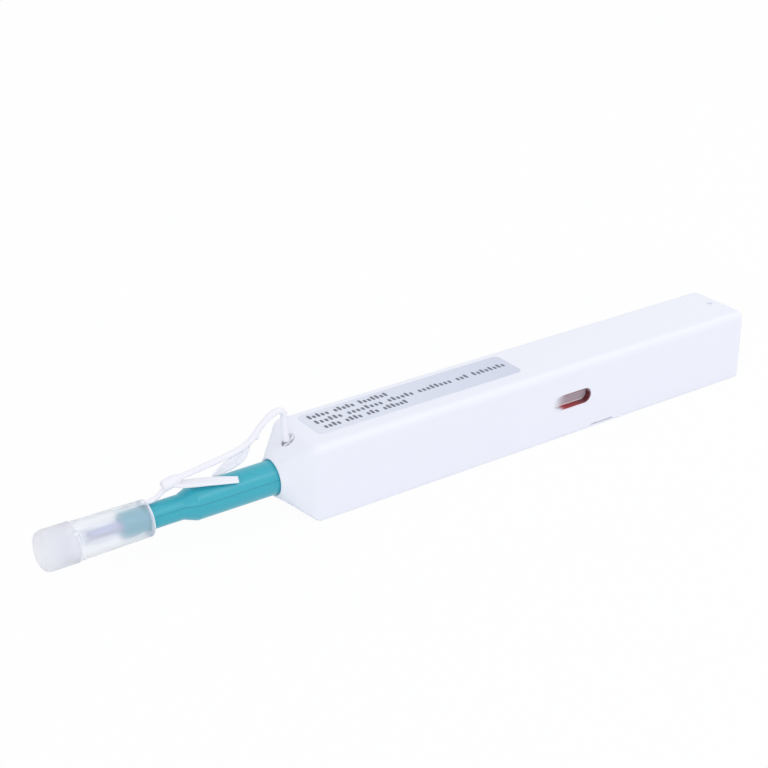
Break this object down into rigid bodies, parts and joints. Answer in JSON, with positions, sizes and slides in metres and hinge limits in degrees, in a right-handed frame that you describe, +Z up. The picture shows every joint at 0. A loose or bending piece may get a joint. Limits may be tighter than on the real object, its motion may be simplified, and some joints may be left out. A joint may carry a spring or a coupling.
{
  "type": "fibre connector cleaning pen",
  "caption": "Square push-type cleaning pen for 2.5 mm fibre ferrules: sprung nozzle, turning tip, thread reels, tethered guide cap and end lid.",
  "frame": {"origin": "centre of the flat base of the case", "axes": "+X along the pen towards its rear end, with the cleaning tip at -X; +Z up towards the label face; the thread window faces -Y"},
  "size_m": [0.207, 0.02, 0.028],
  "materials": {
    "white_abs": "satin moulded ABS",
    "label_film": "matt printed film",
    "red_abs": "satin moulded ABS",
    "pane_clear": "tinted clear styrene",
    "frame_abs": "matt moulded ABS",
    "steel": "drawn wire and ground pins",
    "thread": "fine woven polyester thread",
    "teal_abs": "satin moulded ABS",
    "acetal": "natural acetal",
    "dark_acetal": "dark acetal",
    "spindle_grey": "lilac-grey acetal",
    "reel_clear": "tinted clear styrene",
    "cap_frosted": "frosted polypropylene",
    "lid_milky": "milky polypropylene",
    "strap_clear": "soft clear elastomer"
  },
  "bodies": {
    "case": {"case_shell": "white_abs", "bottom_cover": "white_abs", "label": "label_film", "window_liner": "red_abs", "window_pane": "pane_clear", "inner_frame": "frame_abs", "supply_axle": "steel", "takeup_axle": "steel", "roller_pins": "steel", "pawl_pin": "steel", "cam_pin": "steel", "spring_rod": "steel", "return_spring": "steel", "thread_feed_run": "thread", "thread_return_run": "thread", "tether_strap": "strap_clear"},
    "nozzle": {"nozzle_tube": "teal_abs", "carriage": "acetal", "rack_bar": "acetal"},
    "spindle": {"spindle": "spindle_grey", "cam_barrel": "dark_acetal", "cleaning_tip": "spindle_grey", "tip_thread": "thread"},
    "supply_reel": {"supply_reel": "reel_clear", "supply_thread": "thread"},
    "takeup_reel": {"takeup_reel": "reel_clear", "takeup_thread": "thread"},
    "drive_gear": {"drive_gear": "acetal"},
    "pawl": {"ratchet_pawl": "dark_acetal"},
    "feed_roller": {"feed_roller": "acetal"},
    "return_roller": {"return_roller": "acetal"},
    "guide_cap": {"guide_cap_sleeve": "cap_frosted"},
    "end_lid": {"end_lid": "lid_milky"}
  },
  "joints": [
    {"name": "nozzle_stroke", "type": "slide", "parent": "case", "child": "nozzle", "axis": [1, 0, 0], "range_m": [0, 0.012], "stiffness_N_per_m": 250, "springref_m": -0.012, "deforming": ["return_spring", "thread_feed_run", "thread_return_run", "tether_strap"]},
    {"name": "spindle_turn", "type": "hinge", "parent": "nozzle", "child": "spindle", "pos_m": [0, 0, 0.01], "axis": [1, 0, 0], "range_deg": [0, 180]},
    {"name": "gear_turn", "type": "hinge", "parent": "case", "child": "drive_gear", "pos_m": [0.034, 0, 0], "axis": [0, 0, 1], "range_deg": [-143.25, 0]},
    {"name": "takeup_spin", "type": "hinge", "parent": "case", "child": "takeup_reel", "pos_m": [0.034, 0, 0], "axis": [0, 0, 1], "continuous": true, "deforming": ["ratchet_pawl"]},
    {"name": "supply_spin", "type": "hinge", "parent": "case", "child": "supply_reel", "pos_m": [0.0075, 0, 0], "axis": [0, 0, 1], "continuous": true},
    {"name": "feed_roller_spin", "type": "hinge", "parent": "case", "child": "feed_roller", "pos_m": [-0.008, -0.0034, 0], "axis": [0, 0, 1], "continuous": true},
    {"name": "return_roller_spin", "type": "hinge", "parent": "case", "child": "return_roller", "pos_m": [-0.008, 0.0053, 0], "axis": [0, 0, 1], "continuous": true},
    {"name": "pawl_lift", "type": "hinge", "parent": "case", "child": "pawl", "pos_m": [0.0406, 0.0052, 0], "axis": [0, 0, 1], "range_deg": [0, 8], "stiffness_Nm_per_rad": 0.002, "springref_deg": -5.73},
    {"name": "cap_pull", "type": "slide", "parent": "nozzle", "child": "guide_cap", "axis": [-1, 0, 0], "range_m": [0, 0.016], "deforming": ["tether_strap"]},
    {"name": "lid_pull", "type": "slide", "parent": "guide_cap", "child": "end_lid", "axis": [-1, 0, 0], "range_m": [0, 0.012]}
  ],
  "couplings": [
    {"joint": "spindle_turn", "follows": "nozzle_stroke", "rad_per_m": 261.8},
    {"joint": "gear_turn", "follows": "nozzle_stroke", "rad_per_m": -208.33},
    {"joint": "supply_spin", "follows": "takeup_spin", "ratio": 0.5574},
    {"joint": "feed_roller_spin", "follows": "takeup_spin", "ratio": 2.2667},
    {"joint": "return_roller_spin", "follows": "takeup_spin", "ratio": 2.2667}
  ]
}
